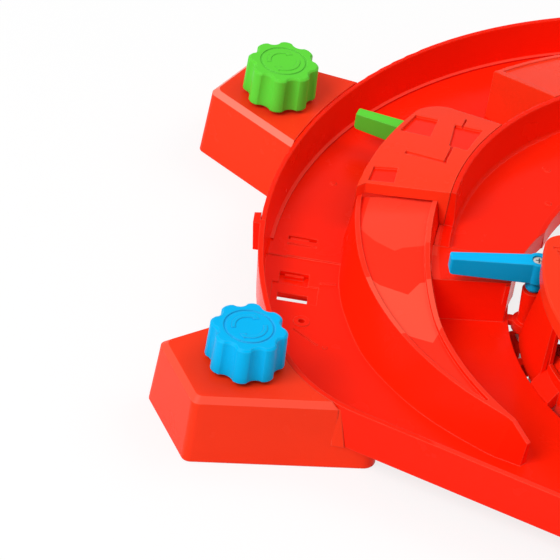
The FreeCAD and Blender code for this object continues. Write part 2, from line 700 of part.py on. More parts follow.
def pod_housing(drive):
    side = drive["side"]
    shoulder = POD_Z - POD_CHAMFER
    shell = pod_loft(side, [pod_level(0.0, 0.0), pod_level(shoulder, 0.0), (-POD_CHAMFER, -POD_CHAMFER, POD_Z)])
    shell = shell.cut(ring_envelope(POD_GAP, SKIRT_Z - SEAT))
    ceiling = -POD_WALL - POD_CHAMFER
    inside = pod_loft(side, [pod_level(-1.0, -POD_WALL), pod_level(shoulder - 1.0, -POD_WALL),
                             (ceiling, ceiling, POD_Z - POD_WALL)])
    inside = inside.cut(ring_envelope(POD_GAP + POD_WALL, SKIRT_Z - SEAT - POD_WALL))
    kx, ky = drive["knob"]
    solids = [post(kx, ky, SHAFT_D / 2 + 3.5, 22.0, POD_Z - 1.0),
              post(kx, ky, KNOB_COLLAR_D / 2, POD_Z - 0.5, KNOB_Z - SLIDE)]
    pilots = []
    for x, y in pod_screws(side):
        high = SKIRT_Z - 1.0 if math.hypot(x, y) < RIM_R + 4 else POD_Z - 1.5
        solids.append(post(x, y, 3.4, BASE_PLATE + SEAT, high))
        pilots.append(post(x, y, SCREW_D / 2, 0, 9.0))
    shell = shell.cut(inside).fuse(solids)
    through = post(kx, ky, SHAFT_D / 2 + RUN, 10, KNOB_Z)
    return solid_of(shell.cut(pilots + [through, rail_tunnel(drive, 12, 72)]))


def pod_base(drive):
    side = drive["side"]
    shrink = POD_WALL + BASE_PLAY
    base = pod_loft(side, [pod_level(0.0, -shrink), pod_level(BASE_PLATE, -shrink)])
    kx, ky = drive["knob"]
    bearing = tube(kx, ky, 6.2, SHAFT_D / 2 - 1.5 + RUN, BASE_PLATE - 0.5, GEAR_Z - SLIDE)
    holes = []
    for x, y in pod_screws(side):
        holes += [post(x, y, SCREW_D / 2 + 0.5, -1, 5), post(x, y, 3.2, -1, 1.4)]
    return solid_of(base.fuse(bearing).cut(holes))


def pod_base_screws():
    screws = []
    for drive in (GREEN, BLUE):
        for x, y in pod_screws(drive["side"]):
            head = post(x, y, 2.9, 0.1, 1.4 - SEAT)
            screws.append(solid_of(head.fuse(post(x, y, SCREW_D / 2 - PILOT_PLAY, 1.0, 8.4))))
    return Part.makeCompound(screws)


# Knobs
def lobed_wire(radius, valley, z, x, y, turn):
    """Rounded lobes and broad valleys round a circle."""
    step = 2 * math.pi / KNOB_LOBES
    edges = []
    lobe = 0.23 * step
    shoulder = radius - 0.75
    for i in range(KNOB_LOBES):
        a = math.radians(turn) + i * step
        polar = ((shoulder, a - lobe), (radius, a), (shoulder, a + lobe), (radius - valley, a + step / 2),
                 (shoulder, a + step - lobe))
        v = [V(x + r * math.cos(t), y + r * math.sin(t), z) for r, t in polar]
        edges += [Part.Arc(v[0], v[1], v[2]).toShape(), Part.Arc(v[2], v[3], v[4]).toShape()]
    return Part.Wire(edges)


def knob(drive):
    kx, ky = drive["knob"]
    r = KNOB_D / 2
    top = KNOB_Z + KNOB_H
    turn = drive["lobes"]
    shoulder = lobed_wire(r, KNOB_VALLEY, top - 1.0, kx, ky, turn)
    body = stations([lobed_wire(r + KNOB_DRAFT, KNOB_VALLEY, KNOB_Z, kx, ky, turn), shoulder], True)
    body = body.fuse(stations([shoulder, lobed_wire(r - 1.0, KNOB_VALLEY, top, kx, ky, turn)], True))
    inner = r - KNOB_VALLEY - KNOB_WALL
    hollow = tube(kx, ky, inner, SHAFT_D / 2 + 2.4, KNOB_Z - 1, top - 2.6)
    groove = tube(kx, ky, 11.6, 10.7, top - 0.5, top + 1)
    return solid_of(body.cut([hollow, groove, post(kx, ky, SHAFT_D / 2, KNOB_Z - 1, top - 3.4)]))


def gear_wire(teeth, radius, z, first=None, last=None):
    """Involute teeth round the origin, a gap centred on +X; full circle or teeth first..last on a sector."""
    base = radius * math.cos(math.radians(PRESSURE))
    tip = radius + ADDENDUM
    root = radius - DEDENDUM
    inv = math.tan(math.radians(PRESSURE)) - math.radians(PRESSURE)
    thick = math.pi * MODULE / 4.0 - FLANK_PLAY

    def half(rho):
        ang = math.acos(base / max(rho, base))
        return thick / radius + inv - (math.tan(ang) - ang)

    full = first is None
    order = range(teeth) if full else range(first, last + 1)
    step = 2 * math.pi / teeth
    radii = sorted({root, max(root, base), (max(root, base) + tip) / 2.0, tip})
    chain = []
    for k in order:
        mid = (k + 0.5) * step
        chain += [(rho, mid - half(rho)) for rho in radii]
        chain += [(rho, mid + half(rho)) for rho in reversed(radii)]
    if not full:
        hub = LEVER_SHAFT_D / 2 + 1.6
        chain.append((hub, chain[-1][1] + 0.25))
        chain.append((hub, (chain[-1][1] + chain[0][1]) / 2.0 + math.pi))
        chain.append((hub, chain[0][1] - 0.25))
    pts = [V(r * math.cos(a), r * math.sin(a), z) for r, a in chain]
    return Part.makePolygon(pts + [pts[0]])


def placed_gear(drive, wire, height, x, y):
    n = drive_frame(drive)[1]
    return turned(Part.Face(wire).extrude(V(0, 0, height)), x, y, math.degrees(math.atan2(n[1], n[0])))


def knob_pinion(drive):
    r1 = drive_frame(drive)[2]
    kx, ky = drive["knob"]
    gear = placed_gear(drive, gear_wire(PINION_TEETH, r1, GEAR_Z), GEAR_H + 0.6, kx, ky)
    top = KNOB_Z + KNOB_H - 3.6
    shaft = post(kx, ky, SHAFT_D / 2, GEAR_Z + 1, KNOB_Z)
    grip = post(kx, ky, SHAFT_D / 2 - 0.02, KNOB_Z - 1, top)
    collar = post(kx, ky, SHAFT_D / 2 + 1.6, 20.0, 22.0 - SLIDE)
    pin = post(kx, ky, SHAFT_D / 2 - 1.5, BASE_PLATE + SLIDE, GEAR_Z + 1)
    return solid_of(gear.fuse([shaft, grip, collar, pin]))


def rack_teeth(first, last, s0):
    thick = math.pi * MODULE / 4.0 - FLANK_PLAY
    lean = math.tan(math.radians(PRESSURE))
    pts = []
    for k in range(first, last + 1):
        c = s0 + k * math.pi * MODULE
        pts += [(c - thick - DEDENDUM * lean, DEDENDUM), (c - thick + ADDENDUM * lean, -ADDENDUM),
                (c + thick - ADDENDUM * lean, -ADDENDUM), (c + thick + DEDENDUM * lean, DEDENDUM)]
    return pts


def rack(drive):
    r1, r2, run = drive_frame(drive)[2:]
    chain = rack_teeth(-1, 4, 0.0) + rack_teeth(-2, 5, run)
    back = DEDENDUM + RACK_BACK
    chain = [(chain[0][0] - 1, DEDENDUM)] + chain + [(chain[-1][0] + 2, DEDENDUM)]
    chain += [(chain[-1][0], back), (chain[0][0], back)]
    pts = [V(*in_drive(drive, s, r1 + t), GEAR_Z) for s, t in chain]
    return solid_of(Part.Face(Part.makePolygon(pts + [pts[0]])).extrude(V(0, 0, GEAR_H)))


def rail_post_spots(drive):
    back = rack_sides()[1]
    return [in_drive(drive, s, back + RAIL_WALL + 2.3) for s in drive["rail_posts"]]


def rack_guide(drive):
    """C-shaped rail behind the rack with a bearing cup for the lever's shaft and posts up to the tray."""
    r1, r2, run = drive_frame(drive)[2:]
    back = rack_sides()[1]
    out = back + SLIDE + RAIL_WALL
    s0, s1 = 15.0, run + 8.0
    low = GEAR_Z - SLIDE - RAIL_SHEET
    inner = r1 + DEDENDUM + 0.2
    lx, ly = drive["pivot"]
    rail = drive_plate(drive, s0, s1, inner, out, low, low + RAIL_SHEET)
    wall = drive_plate(drive, s0, s1, back + SLIDE, out, low, rail_top())
    lip = drive_plate(drive, s0, s1, back - 2.2, out, rail_top() - RAIL_SHEET, rail_top())
    foot = drive_plate(drive, run - 9, run + 9, r1 - r2 - 7, inner + 0.5, low, low + RAIL_SHEET)
    posts = [post(x, y, GUIDE_POST_D / 2, low, GUIDE_JOIN_Z - SEAT) for x, y in rail_post_spots(drive)]
    holes = [post(x, y, SCREW_D / 2 + PILOT_PLAY, low - 1, GUIDE_JOIN_Z + 1) for x, y in rail_post_spots(drive)]
    holes.append(post(lx, ly, LEVER_SHAFT_D / 2 - 1.0 + RUN, low - 1, GEAR_Z))
    return solid_of(rail.fuse([wall, lip, foot] + posts).cut(holes))


def guide_screws():
    screws = []
    low = GEAR_Z - SLIDE - RAIL_SHEET
    for drive in (GREEN, BLUE):
        for x, y in rail_post_spots(drive):
            head = post(x, y, 2.6, low - 1.4, low - SEAT)
            screws.append(solid_of(head.fuse(post(x, y, SCREW_D / 2, low - 0.2, UNDER_Z + 1.2))))
    return Part.makeCompound(screws)


# Levers
def lever_shaft(drive):
    r1, r2 = drive_frame(drive)[2:4]
    lx, ly = drive["pivot"]
    gear = placed_gear(drive, gear_wire(SECTOR_TEETH, r2, GEAR_Z, -2, 3), GEAR_H, lx, ly)
    top = drive["top"]
    stub = top - 2.2 if drive["side"] < 0 else top + 3.0
    shaft = post(lx, ly, LEVER_SHAFT_D / 2, GEAR_Z, stub)
    pin = post(lx, ly, LEVER_SHAFT_D / 2 - 1.0, GEAR_Z - SLIDE - RAIL_SHEET + SEAT, GEAR_Z + 1)
    shaft = gear.fuse([shaft, pin])
    if drive["side"] < 0:
        shaft = shaft.cut(post(lx, ly, SCREW_D / 2, top - 8.5, top + 1))
    return solid_of(shaft)


def lever(drive):
    """Tapered paddle whose underside rises towards a rounded tip, on a round hub with a boss below."""
    lx, ly = drive["pivot"]
    high = drive["top"]
    low = high - LEVER_ROOT_H
    tip = drive["reach"]
    paddle = plate([(0, LEVER_ROOT / 2, 0), (0, -LEVER_ROOT / 2, 0), (tip, -LEVER_END / 2, 1.2),
                    (tip, LEVER_END / 2, 1.2)], low - 1, high)
    outline = [(-2, low, 0), (tip, high - LEVER_TIP_H, 2.2), (tip, high, 0.8), (-2, high, 0)]
    side = Part.Face(rounded_wire(outline, lambda u, z: V(u, -10, z))).extrude(V(0, 20, 0))
    arm = paddle.common(side).fuse(post(0, 0, LEVER_HUB_D / 2, low, high))
    bore = LEVER_SHAFT_D / 2
    if drive["side"] > 0:
        arm = arm.cut(post(0, 0, bore, low - 1, high + 1))
    else:
        foot = low - LEVER_BOSS_DROP
        boss = cone(0, 0, LEVER_BOSS_D / 2 - 1.0, LEVER_BOSS_D / 2, foot, foot + 1.5)
        arm = arm.fuse([boss, post(0, 0, LEVER_BOSS_D / 2, foot + 1.5, high - 1)])
        arm = arm.cut([post(0, 0, bore, foot - 1, high - 2.2), post(0, 0, 3.2, high - 1.5, high + 1),
                       post(0, 0, SCREW_D / 2 + 0.3, high - 3, high)])
    return solid_of(turned(arm, lx, ly, drive["rest"]))


def lever_screw():
    lx, ly = BLUE["pivot"]
    top = BLUE["top"]
    head = post(lx, ly, 2.9, top - 1.4, top - 0.5)
    return solid_of(head.fuse(post(lx, ly, SCREW_D / 2 - PILOT_PLAY, top - 8, top - 1.3)))


# Hub
def cap_wire(inset, z):
    """Outline of the hub's cap, moved inwards: round back corners, bowed sides, rounded shoulders, shallow front."""
    side = [spot(a, CAP_SIDE_R) + V(-CAP_SIDE_X, CAP_SIDE_Y, 0) for a in
            (CAP_SIDE_FROM, (CAP_SIDE_FROM + CAP_SIDE_TO) / 2, CAP_SIDE_TO)]
    turn, shoulder, nose = [spot(-a, LANE_INNER_R - gap) + V(0, LANE_INNER_Y, 0) for a, gap in CAP_SHOULDER]
    crown = side[0] + V(2.0, 7.7, 0)
    back = side[0] + V(7.1, 11.3, 0)
    left = [(back, crown, side[0]), tuple(side), (side[2], turn, shoulder)]

    def over(q):
        return V(-q.x, q.y, 0)

    edges = [Part.Arc(*three).toShape() for three in left]
    edges.append(Part.Arc(shoulder, nose, over(shoulder)).toShape())
    edges += [Part.Arc(over(c), over(b), over(a)).toShape() for a, b, c in reversed(left)]
    edges.append(Part.Arc(over(back), V(0, CAP_BACK_Y, 0), back).toShape())
    wire = Part.Wire(edges)
    if inset:
        wire = wire.makeOffset2D(-inset, 2)
    wire.translate(V(0, 0, z))
    return wire


def cap_block(inset, z0, z1):
    return Part.Face(cap_wire(inset, z0)).extrude(V(0, 0, z1 - z0))


def hub_cap():
    low = CAP_Z - CAP_DEPTH
    under = CAP_Z - SHEET
    body = cap_block(0.0, low, CAP_Z - CAP_CHAMFER)
    body = body.fuse(stations([cap_wire(0.0, CAP_Z - CAP_CHAMFER), cap_wire(CAP_CHAMFER, CAP_Z)], True))
    lx, ly = BLUE["pivot"]
    lever_room = post(lx, ly, LEVER_HUB_D / 2 + 1.0, 0, BLUE["top"] + SLIDE)
    body = body.cut([cap_block(CAP_WALL, low - 1, under), lever_room])
    bosses = [post(x, y, 4.0, low, under + 0.5) for x, y in PILLARS]
    pilots = [post(x, y, SCREW_D / 2, low - 1, CAP_Z - 3.5) for x, y in PILLARS]
    back = ly + 4.0
    seats = [block(x, x + 22.0, back - 1.4, back + 0.4, CAP_Z - 0.8, CAP_Z + 1) for x in (-98.5, 76.5)]
    panel = [(-96.8, back - 2.4, 0), (-74.0, back - 2.4, 1.5), (-74.0, back - 16, 1.5), (-91.0, back - 16, 1.5)]
    seats.append(plate(panel, CAP_Z - 0.8, CAP_Z + 1))
    seats.append(mirrored(seats[-1]))
    return solid_of(body.fuse(bosses).cut(pilots + seats))


def drum_windows():
    """Openings round the drum's front, by direction from the front."""
    windows = []
    for angle in WINDOW_ANGLES:
        window = block(-WINDOW_WIDTH / 2, WINDOW_WIDTH / 2, -LANE_INNER_R, -LANE_INNER_R / 2, WINDOW_LOW, WINDOW_HIGH)
        windows.append(turned(window, 0, CAP_SIDE_Y, angle))
    return windows


def ring_arm(angle):
    """Sloping brace from the inner edge of the lane's floor up through the drum's wall."""
    edge = LANE_INNER_R + 0.5
    inner = LANE_INNER_R - (15.5 if angle != 90.0 else 27.0)
    outline = [(edge, SKIRT_Z), (edge, FLOOR_Z - 0.1), (edge - 12.4, WINDOW_LOW + 2), (inner, WINDOW_LOW + 2),
               (inner, WINDOW_LOW - 3), (edge - 14.5, WINDOW_LOW - 3), (edge - 4.0, SKIRT_Z)]
    face = Part.Face(rounded_wire([(u, z, 0) for u, z in outline], lambda u, z: V(-u, -ARM_WIDTH / 2, z)))
    return turned(face.extrude(V(0, ARM_WIDTH, 0)), 0, LANE_INNER_Y, angle)


def hub_drum():
    """Drum under the cap: windowed wall, ribs, screw pillars, braces to the ring and the blue lever's socket."""
    outer = CAP_WALL + DRUM_GAP
    lx, ly = BLUE["pivot"]
    under = CAP_Z - SHEET - SEAT
    socket_top = BLUE["top"] - LEVER_ROOT_H - LEVER_BOSS_DROP - SLIDE
    wall = cap_block(outer, 0, under).cut(cap_block(outer + DRUM_WALL, -1, CAP_Z))
    wide = LANE_INNER_R
    ribs = [block(-wide, wide, y - 1.1, y + 1.1, RIB_LOW, RIB_HIGH) for y in (PILLARS[0][1], PILLARS[2][1])]
    ribs.append(block(-1.1, 1.1, -wide, wide, RIB_LOW, RIB_HIGH))
    inside = cap_block(outer + 0.5, 0, under)
    ribs = [rib.common(inside) for rib in ribs]
    pillars = [post(x, y, 5.2, 0.0, CAP_Z - CAP_DEPTH - SEAT) for x, y in PILLARS]
    arms = [ring_arm(angle) for angle in ARM_ANGLES]
    socket = [cone(lx, ly, 4.2, 5.1, FLOOR_Z, socket_top), post(lx, ly, 6.6, RIB_LOW, FLOOR_Z)]
    away = math.sqrt(LANE_INNER_R ** 2 - (ly - LANE_INNER_Y) ** 2)
    socket.append(block(-away - 0.5, lx, ly - 2.2, ly + 2.2, SKIRT_Z, FLOOR_Z - 0.1))
    lever_space = [cone(lx, ly, 5.4, 11.0, FLOOR_Z, socket_top + 14),
                   post(lx, ly, 11.0, socket_top + 14, BLUE["top"] + 1), post(lx, ly, 18.0, -1, RIB_LOW - 1)]
    r1, r2, run = drive_frame(BLUE)[2:]
    drum = wall.cut(drum_windows() + lever_space + [rail_tunnel(BLUE, run - 34, run + 34)])
    drum = drum.fuse(ribs + pillars + arms + socket)
    holes = [post(lx, ly, LEVER_SHAFT_D / 2 + RUN, 0, CAP_Z)]
    holes.append(tube(0, LANE_INNER_Y, LANE_INNER_R + 10, LANE_INNER_R - SEAT, 0, CAP_Z))
    for x, y in PILLARS:
        holes += [post(x, y, SCREW_D / 2 + 0.4, PILLAR_SEAT_Z - 1, CAP_Z), post(x, y, 3.0, -1, PILLAR_SEAT_Z)]
    return solid_of(drum.cut(holes))


def hub_screws():
    screws = []
    for x, y in PILLARS:
        head = post(x, y, 2.7, PILLAR_SEAT_Z - 2.2, PILLAR_SEAT_Z - SEAT)
        screws.append(solid_of(head.fuse(post(x, y, SCREW_D / 2 - PILOT_PLAY, PILLAR_SEAT_Z - 1, CAP_Z - 4.0))))
    return Part.makeCompound(screws)


# Fixings and feet
def seam_clip(side):
    """Strap under the seam of the two trays with two spring tongues standing in the slots."""
    low, high = UNDER_Z - 2.6, UNDER_Z - SEAT
    strap = latch_block(6.8, 26.8, -24.5, 20.0, low, high)
    tongue = latch_block(10.3, 19.3, -13.2, -11.8, UNDER_Z - 1, FLOOR_Z - 0.4)
    other = latch_block(10.3, 19.3, 15.3, 16.7, UNDER_Z - 1, FLOOR_Z - 0.4)
    clip = solid_of(strap.fuse([tongue, other]))
    return clip if side > 0 else mirrored(clip)


def ring_feet():
    """Plain feet under the trays on the sides with no pod, by direction and distance from the ring's axis."""
    back = ISLAND_R - 24.5
    front = FRONT_R - 31.0
    feet = []
    for angle, radius in ((70, back), (110, back), (150, back), (-165, back - 2), (-140, back - 5),
                          (-110, front), (-70, front)):
        x, y = plan(angle, radius)
        foot = post(x, y, 8.0, 0.0, UNDER_Z - SEAT)
        feet.append(solid_of(foot.cut(post(x, y, 6.0, -0.1, UNDER_Z - SEAT - 2.0))))
    return Part.makeCompound(feet)


def main():
    os.makedirs("parts", exist_ok=True)
    nodes = {
        "back_tray": back_tray(),
        "front_tray": front_tray(),
        "lever_cover": cover_platform(),
        "island_block": island_block(),
        "green_pod_housing": pod_housing(GREEN),
        "blue_pod_housing": pod_housing(BLUE),
        "green_pod_base": pod_base(GREEN),
        "blue_pod_base": pod_base(BLUE),
        "pod_base_screws": pod_base_screws(),
        "green_knob": knob(GREEN),
        "blue_knob": knob(BLUE),
        "green_knob_pinion": knob_pinion(GREEN),
        "blue_knob_pinion": knob_pinion(BLUE),
        "green_rack": rack(GREEN),
        "blue_rack": rack(BLUE),
        "green_rack_guide": rack_guide(GREEN),
        "blue_rack_guide": rack_guide(BLUE),
        "guide_screws": guide_screws(),
        "green_lever": lever(GREEN),
        "blue_lever": lever(BLUE),
        "green_lever_shaft": lever_shaft(GREEN),
        "blue_lever_shaft": lever_shaft(BLUE),
        "blue_lever_screw": lever_screw(),
        "hub_cap": hub_cap(),
        "hub_drum": hub_drum(),
        "hub_screws": hub_screws(),
        "left_seam_clip": seam_clip(1),
        "right_seam_clip": seam_clip(-1),
        "ring_feet": ring_feet(),
    }
    for name, shape in nodes.items():
        shape.exportStep("parts/" + name + ".step")


main()
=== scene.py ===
import json
import math

import bmesh
import bpy
from mathutils import Matrix, Vector


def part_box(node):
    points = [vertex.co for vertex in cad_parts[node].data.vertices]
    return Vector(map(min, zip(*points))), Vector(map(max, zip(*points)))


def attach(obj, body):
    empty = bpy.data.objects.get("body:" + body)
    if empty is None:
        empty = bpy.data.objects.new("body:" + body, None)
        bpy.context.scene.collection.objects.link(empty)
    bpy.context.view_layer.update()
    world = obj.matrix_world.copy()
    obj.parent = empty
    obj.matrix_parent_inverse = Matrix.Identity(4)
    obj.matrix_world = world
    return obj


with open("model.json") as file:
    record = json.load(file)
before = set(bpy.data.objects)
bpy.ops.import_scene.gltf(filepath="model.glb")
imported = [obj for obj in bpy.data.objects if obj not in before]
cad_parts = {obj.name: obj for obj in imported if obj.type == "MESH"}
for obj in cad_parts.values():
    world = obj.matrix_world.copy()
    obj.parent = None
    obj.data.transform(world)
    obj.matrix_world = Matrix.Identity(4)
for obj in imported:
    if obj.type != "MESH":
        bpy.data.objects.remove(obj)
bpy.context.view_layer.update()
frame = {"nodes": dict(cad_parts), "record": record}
nodes = frame["nodes"]

MM = 0.001

# Colours of the plastics and metals, in linear light. An edge colour shows where an edge is worn paler; on the red
# shell it also stands in for the highlights along the edges, a painted highlight.
RED = (0.95, 0.015, 0.002)
# A lighter copy of the red for the upper parts, painted light for the light that falls more fully on them.
RED_PAINTED_LIT = (0.95, 0.040, 0.010)
RED_EDGE_WORN_AND_HIGHLIT = (1.0, 0.17, 0.10)
# Painted highlight on the pods' chamfers.
CHAMFER_HIGHLIGHT = (1.0, 0.36, 0.27)
# Painted shade in the lever cover's sunken seats.
POCKET_SHADE = (0.92, 0.018, 0.004)
# Painted highlight on the bead round the back wall's foot, and painted shade on its upright sides.
BEAD_HIGHLIGHT = (0.96, 0.055, 0.032)
BEAD_SIDE_SHADE = (0.80, 0.004, 0.001)
GREEN = (0.11, 0.63, 0.04)
GREEN_EDGE = (0.25, 0.85, 0.15)
BLUE = (0.0, 0.45, 0.86)
BLUE_EDGE = (0.10, 0.60, 0.95)
WHITE = (0.80, 0.80, 0.77)
WHITE_EDGE = (0.9, 0.9, 0.88)
STEEL = (0.55, 0.55, 0.53)
STEEL_EDGE = (0.75, 0.75, 0.73)
# Near-black for the screws' cross recesses: painted shade.
RECESS_SHADE = (0.05, 0.05, 0.05)


# Shader nodes
GRID_COLUMN = 220
GRID_ROW = 340
GRID_WIDTH = 8


def node(tree, kind, inputs=None, **settings):
    """New node whose inputs are plain values or sockets of other nodes. Nodes lie on a grid in the order of making."""
    row, column = divmod(len(tree.nodes), GRID_WIDTH)
    made = tree.nodes.new(kind)
    made.location = (GRID_COLUMN * (column - GRID_WIDTH), -GRID_ROW * row)
    for key, value in settings.items():
        setattr(made, key, value)
    for key, value in (inputs or {}).items():
        if isinstance(value, bpy.types.NodeSocket):
            tree.links.new(value, made.inputs[key])
        else:
            made.inputs[key].default_value = value
    return made


def maths(tree, operation, first, second=None):
    inputs = {0: first} if second is None else {0: first, 1: second}
    return node(tree, "ShaderNodeMath", inputs, operation=operation).outputs[0]


def product(tree, first, *others):
    for other in others:
        first = maths(tree, "MULTIPLY", first, other)
    return first


def within(tree, value, low, high):
    """1 where the value lies between two numbers."""
    return product(tree, maths(tree, "GREATER_THAN", value, low), maths(tree, "LESS_THAN", value, high))


def noise(tree, place, scale, detail):
    return node(tree, "ShaderNodeTexNoise", {"Vector": place, "Scale": scale, "Detail": detail}).outputs["Fac"]


def mixed(tree, factor, first, second):
    inputs = {"Factor": factor, "A": first, "B": second + (1.0,)}
    return node(tree, "ShaderNodeMix", inputs, data_type="RGBA").outputs["Result"]


def split(tree, vector):
    return node(tree, "ShaderNodeSeparateXYZ", {0: vector}).outputs


def upness(tree):
    """How far the surface faces upwards."""
    return split(tree, node(tree, "ShaderNodeNewGeometry").outputs["True Normal"])["Z"]


def from_middle(tree, place):
    """Level distance from the middle of the ring, in metres."""
    level = node(tree, "ShaderNodeVectorMath", {0: place, 1: (1, 1, 0)}, operation="MULTIPLY").outputs[0]
    return node(tree, "ShaderNodeVectorMath", {0: level}, operation="LENGTH").outputs["Value"]


# Moulded plastic
EDGE_RADIUS = 0.0007
EDGE_START = 0.985
EDGE_FULL = 0.80
WEAR_AND_HIGHLIGHT = 0.9
NOISE_LOW = 0.3
NOISE_HIGH = 0.7
GLOSSIER = 0.85
DULLER = 1.2
HANDLED_SCALE = 55.0
SKIN_SCALE = 700.0
SKIN_STRENGTH = 0.03
SKIN_DEPTH = 0.0004
PLASTIC_IOR = 1.5


def edge_mask(tree):
    """A rounded normal for sharp moulded edges, and 1 where an edge is near."""
    rounded = node(tree, "ShaderNodeBevel", {"Radius": EDGE_RADIUS}, samples=4).outputs["Normal"]
    flat = node(tree, "ShaderNodeNewGeometry").outputs["Normal"]
    agreement = node(tree, "ShaderNodeVectorMath", {0: rounded, 1: flat}, operation="DOT_PRODUCT").outputs["Value"]
    near = node(tree, "ShaderNodeMapRange", {"Value": agreement, "From Min": EDGE_START, "From Max": EDGE_FULL})
    return rounded, near.outputs["Result"]


def shaded(colour, factor):
    return tuple(min(1.0, part * factor) for part in colour) + (1.0,)


def moulded(name, colour, edge, rough=0.24, spread=0.05, gleam=0.05, flow=14.0, marks=None, tinted=None):
    """Injection-moulded plastic: faint flow clouds, uneven gloss, fine skin, paler edges that are partly wear and
    partly a painted highlight.
    """
    mat = bpy.data.materials.new(name)
    mat.use_nodes = True
    tree = mat.node_tree
    place = node(tree, "ShaderNodeTexCoord").outputs["Object"]

    clouds = node(tree, "ShaderNodeValToRGB", {"Fac": noise(tree, place, flow, detail=3.0)})
    for element, position, factor in zip(clouds.color_ramp.elements, (NOISE_LOW, NOISE_HIGH),
                                         (1.0 - spread, 1.0 + spread)):
        element.position = position
        element.color = shaded(colour, factor)
    base = clouds.outputs["Color"]
    if marks:
        base = mixed(tree, marks(tree, place), base, tinted or edge)

    handled = noise(tree, place, HANDLED_SCALE, detail=5.0)
    gloss = node(tree, "ShaderNodeMapRange", {"Value": handled, "From Min": NOISE_LOW, "From Max": NOISE_HIGH,
                                              "To Min": rough * GLOSSIER, "To Max": rough * DULLER})
    rounded, near = edge_mask(tree)
    # Edges drawn paler: partly wear, partly a painted highlight.
    worn_and_highlit = mixed(tree, product(tree, near, product(tree, handled, WEAR_AND_HIGHLIGHT)), base, edge)
    skin = node(tree, "ShaderNodeBump", {"Height": noise(tree, place, SKIN_SCALE, detail=2.0),
                                         "Strength": SKIN_STRENGTH, "Distance": SKIN_DEPTH, "Normal": rounded})

    shader = tree.nodes["Principled BSDF"]
    tree.links.new(worn_and_highlit, shader.inputs["Base Color"])
    tree.links.new(gloss.outputs["Result"], shader.inputs["Roughness"])
    tree.links.new(skin.outputs["Normal"], shader.inputs["Normal"])
    shader.inputs["IOR"].default_value = PLASTIC_IOR
    shader.inputs["Specular IOR Level"].default_value = gleam
    return mat


def steel(name, colour, spread):
    mat = moulded(name, colour, STEEL_EDGE, rough=0.32, spread=spread, gleam=0.5, flow=160.0)
    mat.node_tree.nodes["Principled BSDF"].inputs["Metallic"].default_value = 1.0
    return mat


# Paler arrow bands along each wedge, as (direction in degrees, radius in mm) of every band's edge.
BANDS = [[(-2.9, 167.2), (-3.4, 170.8), (-1.0, 180.3), (1.7, 188.1)],
         [(-10.9, 159.9), (-13.0, 166.1), (-10.2, 178.1), (-8.8, 181.5)],
         [(-21.3, 155.4), (-24.0, 161.8), (-21.7, 171.7)]]
BAND_FROM, BAND_SPAN = 140.0, 60.0
TURN_FROM, TURN_SPAN = -45.0, 60.0
PANEL_IN, PANEL_OUT = 150.5 * MM, 187.5 * MM
PANEL_END = 9.0
WEDGE_IN, WEDGE_OUT = 149.7 * MM, 200.0 * MM
WEDGE_FOOT = 24.0 * MM
WEDGE_FACING = 0.8
WEDGE_LIT_PALER = 0.09
BAND_PALER = 0.35
NEAR_BAND_SHARE = 0.5


def band_edge(tree, radius, edge):
    """Direction of a band's edge, in degrees, at each radius."""
    curve = node(tree, "ShaderNodeFloatCurve")
    points = curve.mapping.curves[0].points
    ends = [(edge[0][0], BAND_FROM)] + edge + [(edge[-1][0], BAND_FROM + BAND_SPAN)]
    while len(points) < len(ends):
        points.new(0.5, 0.5)
    for point, (turn, r) in zip(points, ends):
        point.location = ((r - BAND_FROM) / BAND_SPAN, (turn - TURN_FROM) / TURN_SPAN)
        point.handle_type = "VECTOR"
    curve.mapping.update()
    along = maths(tree, "DIVIDE", maths(tree, "SUBTRACT", radius, BAND_FROM * MM), BAND_SPAN * MM)
    tree.links.new(along, curve.inputs["Value"])
    return maths(tree, "ADD", product(tree, curve.outputs["Value"], TURN_SPAN), TURN_FROM)


def arrow_bands(tree, place):
    """How much paler the wedge is drawn: a little on the upward faces of its upper side, painted light for the light
    falling there, and more on the arrow bands of its panel.
    """
    parts = split(tree, place)
    radius = from_middle(tree, place)
    across = maths(tree, "ABSOLUTE", parts["X"])
    turn = product(tree, maths(tree, "ARCTAN2", parts["Y"], across), math.degrees(1))
    past = [maths(tree, "LESS_THAN", turn, band_edge(tree, radius, edge)) for edge in BANDS]
    first = maths(tree, "SUBTRACT", 1.0, past[0])
    second = maths(tree, "SUBTRACT", past[1], past[2])
    chosen = maths(tree, "ADD", product(tree, first, NEAR_BAND_SHARE), second)
    panel = product(tree, within(tree, radius, PANEL_IN, PANEL_OUT), maths(tree, "LESS_THAN", turn, PANEL_END))
    paler_bands = product(tree, chosen, panel, BAND_PALER)
    lit_wedge = product(tree, within(tree, radius, WEDGE_IN, WEDGE_OUT), WEDGE_LIT_PALER)
    upper = product(tree, maths(tree, "GREATER_THAN", parts["Z"], WEDGE_FOOT),
                    maths(tree, "GREATER_THAN", upness(tree), WEDGE_FACING))
    return product(tree, maths(tree, "ADD", paler_bands, lit_wedge), upper)


CHAMFER_STEEPEST, CHAMFER_FLATTEST = 0.4, 0.93


def chamfer_highlight(share):
    """Mask of the painted highlight on the chamfers round a pod's top, between its flat top and its steep sides."""
    def mask(tree, place):
        return product(tree, within(tree, upness(tree), CHAMFER_STEEPEST, CHAMFER_FLATTEST), share)
    return mask


# The lever cover's tilted top: rise for each metre from the middle, and height there in metres.
COVER_SLOPE = -0.2882
COVER_LEVEL = 0.10006
POCKET_SHALLOWEST, POCKET_DEEPEST = 0.9 * MM, 1.9 * MM
POCKET_FACING = 0.7
UPRIGHT = 0.3


